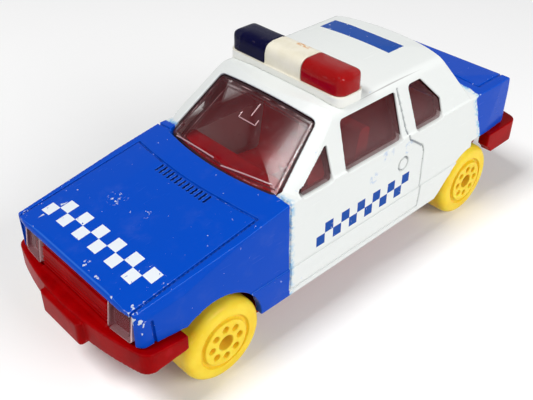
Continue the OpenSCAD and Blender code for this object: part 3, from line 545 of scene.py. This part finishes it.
def relax(obj, name, passes):
    smooth = obj.modifiers.new(name, "SMOOTH")
    smooth.factor = RELAX_FACTOR
    smooth.iterations = passes
    return smooth


def engrave(obj, path, width, depth):
    """Sinks a line along the path of (x, z) points into the outer skin of both sides."""
    count = len(obj.data.vertices)
    places, normals = np.empty(count * 3, np.float32), np.empty(count * 3, np.float32)
    obj.data.vertices.foreach_get("co", places)
    obj.data.vertex_normals.foreach_get("vector", normals)
    places, normals = places.reshape(-1, 3), normals.reshape(-1, 3)
    away = np.full(count, np.inf)
    for start, end in zip(np.array(path[:-1]), np.array(path[1:])):
        run, rel = end - start, places[:, (0, 2)] / MM - start
        share = np.clip(rel @ run / (run @ run), 0, 1)
        away = np.minimum(away, np.hypot(*(rel - share[:, None] * run).T))
    outward = normals[:, 1] * np.sign(places[:, 1]) > 0.7
    sunk = (away < width / 2) & outward
    places[sunk] -= normals[sunk] * depth * MM
    obj.data.vertices.foreach_set("co", places.ravel())
    obj.data.update()


def soften(node, name, body, material, voxel, passes, keep, loose=None, line=None):
    """Copy of a CAD solid with rounded edges; where loose holds, the rounding is far stronger."""
    obj = bpy.data.objects.new(name, frame["nodes"][node].data.copy())
    scene.collection.objects.link(obj)
    bm = bmesh.new()
    bm.from_mesh(obj.data)
    bmesh.ops.remove_doubles(bm, verts=bm.verts, dist=JOIN_DISTANCE)
    bm.to_mesh(obj.data)
    bm.free()
    skin = obj.modifiers.new("skin", "REMESH")
    skin.mode = "VOXEL"
    skin.voxel_size = voxel * MM
    relax(obj, "relax", passes)
    bake_modifiers(obj)
    if line:
        engrave(obj, line, LINE_WIDTH, LINE_DEPTH)
    if loose:
        group = obj.vertex_groups.new(name="loose")
        for vertex in obj.data.vertices:
            group.add([vertex.index], loose(vertex.co / MM), "REPLACE")
        relax(obj, "round", LOOSE_PASSES).vertex_group = "loose"
    thin = obj.modifiers.new("thin", "DECIMATE")
    thin.ratio = keep
    bake_modifiers(obj)
    obj.vertex_groups.clear()
    obj.data.name = name
    obj.data.shade_smooth()
    dress(obj, material)
    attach(obj, body)
    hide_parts(node)


def ramp(value, low, length):
    return max(0.0, min(1.0, (value - low) / length))


def lens_end(place):
    """1 at a lens's outer end and top, 0 on its foot and by the middle block."""
    return ramp(place.z, LENS_FOOT_Z, 0.5) * ramp(abs(place.y), LENS_INNER_Y, 1.5)


soften("body_shell", "cast_body", "car", ENAMEL, voxel=0.10, passes=2, keep=0.25, line=DOOR_LINE)
soften("chassis_base", "moulded_base", "car", BASE_RED, voxel=0.14, passes=3, keep=0.30)
soften("lightbar_base", "moulded_lightbar_base", "car", IVORY, voxel=0.10, passes=3, keep=0.4)
for tint, material in (("red", RED_LENS), ("blue", BLUE_LENS)):
    soften(f"lightbar_lens_{tint}", f"moulded_lens_{tint}", "car", material,
           voxel=0.09, passes=4, keep=0.5, loose=lens_end)
for end in ("front", "rear"):
    for hand in ("left", "right"):
        soften(f"wheel_{end}_{hand}", f"moulded_wheel_{end}_{hand}", f"{end}_wheels", YELLOW,
               voxel=0.11, passes=3, keep=0.4)

for node, material in (("window_glazing", GLAZING), ("cabin_interior", LIT_CABIN_RED), ("headlight_left", LAMP),
                       ("headlight_right", LAMP), ("front_axle", STEEL), ("rear_axle", STEEL)):
    dress(frame["nodes"][node], material)


# Ridges moulded on the windscreen: the two wipers and the mirror's outline

RIDGE_STEPS = 8


def on_screen(across, up):
    """Point on the windscreen's pane, in metres, from millimetres across the car and up the screen."""
    w = math.sqrt((SCREEN_R - PANE_IN) ** 2 - across ** 2) - SCREEN_R
    c, s = math.cos(SCREEN_ANGLE), math.sin(SCREEN_ANGLE)
    return Vector((COWL_X - up * c + w * s, across, COWL_Z + up * s + w * c)) * MM


def ridge(name, points, width):
    curve = bpy.data.curves.new(name, "CURVE")
    curve.dimensions = "3D"
    curve.bevel_depth = width / 2 * MM
    curve.bevel_resolution = 3
    curve.use_fill_caps = True
    path = []
    for (a, b), (c, d) in zip(points, points[1:]):
        path += [on_screen(a + (c - a) * i / RIDGE_STEPS, b + (d - b) * i / RIDGE_STEPS)
                 for i in range(RIDGE_STEPS)]
    path.append(on_screen(*points[-1]))
    spline = curve.splines.new("POLY")
    spline.points.add(len(path) - 1)
    for point, place in zip(spline.points, path):
        point.co = (*place, 1)
    obj = bpy.data.objects.new(name, curve)
    scene.collection.objects.link(obj)
    curve.materials.append(RIDGE)
    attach(obj, "car")


ridge("wiper_right", [(-8.3, 1.15), (-0.3, 1.1)], 0.2)
ridge("wiper_left", [(1.4, 0.75), (8.5, 2.1)], 0.2)
ridge("mirror_stem", [(0.75, 9.7), (0.65, 7.9)], 0.18)
ridge("mirror_outline", [(-0.9, 7.85), (-0.9, 7.05), (2.0, 7.05), (2.0, 7.85)], 0.16)


# Studio, in metres

FLOOR_RADIUS, FLOOR_GLOW = 1.6, 0.08
WORLD_LIGHT, WORLD_SEEN = 0.12, 0.7
SEEN_BY = ("Is Camera Ray", "Is Glossy Ray", "Is Transmission Ray")
AIM = (0, 0, 0.01)


def floor():
    bm = bmesh.new()
    bmesh.ops.create_circle(bm, cap_ends=True, radius=FLOOR_RADIUS, segments=64)
    mesh = bpy.data.meshes.new("floor")
    bm.to_mesh(mesh)
    bm.free()
    obj = bpy.data.objects.new("floor", mesh)
    scene.collection.objects.link(obj)
    g = Graph("pale_floor")
    colour = g.blend(g.noise(0.02, 3), (0.93, 0.93, 0.93), (0.95, 0.95, 0.95))
    g.set(colour=colour, roughness=0.9, specular=0.0)
    path = g.add("ShaderNodeLightPath")
    seen = g.most(*(path.outputs[kind] for kind in SEEN_BY))
    g.shader.inputs["Emission Color"].default_value = (1, 1, 1, 1)
    g.put(g.shader.inputs["Emission Strength"], g.times(seen, FLOOR_GLOW))
    obj.data.materials.append(g.mat)


def world():
    """Weak white light from all round, shown paler to the rays that see it."""
    made = bpy.data.worlds.new("studio")
    made.use_nodes = True
    tree = made.node_tree
    background = tree.nodes["Background"]
    background.inputs["Color"].default_value = (1, 1, 1, 1)
    path = tree.nodes.new("ShaderNodeLightPath")
    seen = path.outputs[SEEN_BY[0]]
    for kind in SEEN_BY[1:]:
        either = tree.nodes.new("ShaderNodeMath")
        either.operation = "MAXIMUM"
        tree.links.new(seen, either.inputs[0])
        tree.links.new(path.outputs[kind], either.inputs[1])
        seen = either.outputs[0]
    level = tree.nodes.new("ShaderNodeMapRange")
    tree.links.new(seen, level.inputs["Value"])
    level.inputs["To Min"].default_value = WORLD_LIGHT
    level.inputs["To Max"].default_value = WORLD_SEEN
    tree.links.new(level.outputs[0], background.inputs["Strength"])
    scene.world = made


def area(name, place, size, power):
    light = bpy.data.lights.new(name, "AREA")
    light.shape = "RECTANGLE"
    light.size, light.size_y = size
    light.energy = power
    obj = bpy.data.objects.new(name, light)
    scene.collection.objects.link(obj)
    obj.location = place
    obj.rotation_euler = (Vector(AIM) - Vector(place)).to_track_quat("-Z", "Y").to_euler()


floor()
world()
area("key", (0.22, -0.05, 0.42), (0.14, 0.14), 1.55)
area("fill", (-0.09, 0.44, 0.27), (0.36, 0.26), 1.8)
scene.view_settings.view_transform = "Standard"

# Camera, from the photograph's own viewpoint

AZIMUTH, ELEVATION, ROLL = math.radians(136.24), math.radians(36.45), math.radians(0.43)
FOCAL_PIXELS, PHOTO_WIDTH, SENSOR_WIDTH = 759.37, 533, 36
CAMERA_PLACE = Vector((0.06265, 0.06007, 0.07145))

back = Vector((math.sin(AZIMUTH) * math.cos(ELEVATION), -math.cos(AZIMUTH) * math.cos(ELEVATION),
               math.sin(ELEVATION)))
right = Vector((0, 0, 1)).cross(back).normalized()
up = back.cross(right)
turned_right = right * math.cos(ROLL) + up * math.sin(ROLL)
turned_up = up * math.cos(ROLL) - right * math.sin(ROLL)
lens = bpy.data.cameras.new("camera")
lens.sensor_width = SENSOR_WIDTH
lens.lens = FOCAL_PIXELS / PHOTO_WIDTH * SENSOR_WIDTH
lens.clip_start = 0.001
camera = bpy.data.objects.new("camera", lens)
scene.collection.objects.link(camera)
turn = Matrix((turned_right, turned_up, back)).transposed()
camera.matrix_world = Matrix.Translation(CAMERA_PLACE) @ turn.to_4x4()
scene.camera = camera
